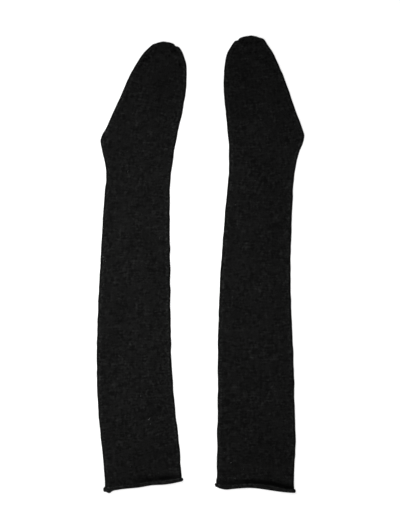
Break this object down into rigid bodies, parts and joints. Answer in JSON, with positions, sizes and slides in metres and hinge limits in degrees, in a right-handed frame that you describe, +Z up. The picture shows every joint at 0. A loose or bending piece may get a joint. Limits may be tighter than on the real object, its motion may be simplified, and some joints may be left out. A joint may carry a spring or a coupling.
{
  "type": "pair of long socks",
  "caption": "Pair of over-the-knee socks in fine plain jersey knit with self-rolled cuffs, laid flat on their sides, heels outwards",
  "frame": {"origin": "the middle of the pair's box in X and Y, on the surface that the socks lie on", "axes": "+X runs across the pair from the left sock to the right one, +Y from the cuffs to the toes, +Z up from the surface"},
  "size_m": [0.374, 0.8232, 0.0093],
  "materials": {
    "black_jersey": "matt brushed fine jersey knit"
  },
  "bodies": {
    "root": {"sock_left": "black_jersey", "sock_right": "black_jersey"}
  },
  "joints": []
}
